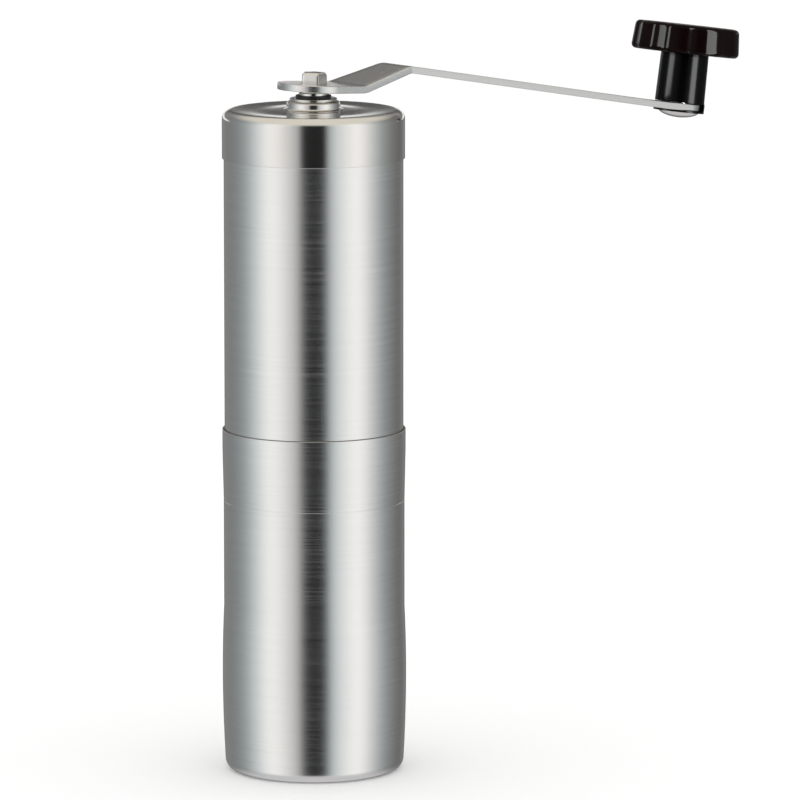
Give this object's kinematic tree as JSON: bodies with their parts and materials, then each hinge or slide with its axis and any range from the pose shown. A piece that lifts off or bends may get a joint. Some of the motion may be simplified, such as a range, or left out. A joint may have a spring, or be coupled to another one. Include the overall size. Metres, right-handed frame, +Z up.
{
  "type": "hand crank coffee grinder",
  "caption": "Slim steel coffee mill with a push-on grounds cup, a slip-on lid and a lift-off crank that turns a conical ceramic burr.",
  "frame": {"origin": "centre of the round base that it stands on", "axes": "+Z up the spindle, +X along the crank at rest"},
  "size_m": [0.171, 0.0498, 0.1965],
  "materials": {
    "brushed_steel": "turned stainless steel, fine brushing round the tube",
    "polished_steel": "polished stainless steel",
    "satin_steel": "satin stainless bar with fine brushing",
    "spring_steel": "bare spring steel",
    "black_gloss": "gloss black moulded plastic",
    "knob_gloss": "gloss brown-black moulded plastic",
    "black_nylon": "plain black nylon",
    "housing_plastic": "matt black moulded plastic",
    "bush_plastic": "natural acetal",
    "burr_ceramic": "matt white ceramic",
    "insert_brass": "turned brass",
    "seal_rubber": "matt black rubber"
  },
  "bodies": {
    "cup": {"grounds_cup": "brushed_steel"},
    "grinder_body": {"hopper_tube": "brushed_steel", "burr_housing": "housing_plastic", "centre_support": "housing_plastic", "shaft_bush": "bush_plastic", "outer_burr": "burr_ceramic", "burr_retainer": "housing_plastic", "cup_seal": "seal_rubber"},
    "spindle": {"spindle": "polished_steel", "thrust_washer": "spring_steel", "retaining_clip": "spring_steel", "spring_washer": "spring_steel", "pressure_spring": "spring_steel"},
    "burr_set": {"inner_burr": "burr_ceramic", "burr_core": "housing_plastic", "detent_plate": "spring_steel"},
    "adjuster": {"adjuster_nut": "housing_plastic", "adjuster_insert": "insert_brass"},
    "lid": {"lid_cap": "polished_steel", "lid_collar": "polished_steel", "lid_bush": "black_nylon"},
    "crank": {"crank_arm": "satin_steel", "knob_foot": "black_gloss", "knob_pin": "polished_steel"},
    "knob": {"knob_stem": "black_gloss", "knob_head": "knob_gloss"}
  },
  "joints": [
    {"name": "body_lift", "type": "slide", "parent": "cup", "child": "grinder_body", "axis": [0, 0, 1], "range_m": [0, 0.06]},
    {"name": "crank_spin", "type": "hinge", "parent": "grinder_body", "child": "spindle", "pos_m": [0, 0, 0.1], "axis": [0, 0, -1], "continuous": true},
    {"name": "crank_lift", "type": "slide", "parent": "spindle", "child": "crank", "axis": [0, 0, 1], "range_m": [0, 0.045]},
    {"name": "lid_lift", "type": "slide", "parent": "grinder_body", "child": "lid", "axis": [0, 0, 1], "range_m": [0, 0.027]},
    {"name": "knob_spin", "type": "hinge", "parent": "crank", "child": "knob", "pos_m": [0.12876, 0, 0.17297], "axis": [0.1392, 0, 0.9903], "continuous": true},
    {"name": "burr_slide", "type": "slide", "parent": "spindle", "child": "burr_set", "axis": [0, 0, -1], "range_m": [0, 0.0012], "deforming": ["pressure_spring"]},
    {"name": "adjuster_turn", "type": "hinge", "parent": "burr_set", "child": "adjuster", "pos_m": [0, 0, 0.07], "axis": [0, 0, -1], "range_deg": [0, 540]}
  ],
  "couplings": [
    {"joint": "lid_lift", "follows": "crank_lift", "ratio": 0.6},
    {"joint": "burr_slide", "follows": "adjuster_turn", "m_per_rad": 0.00012732}
  ]
}
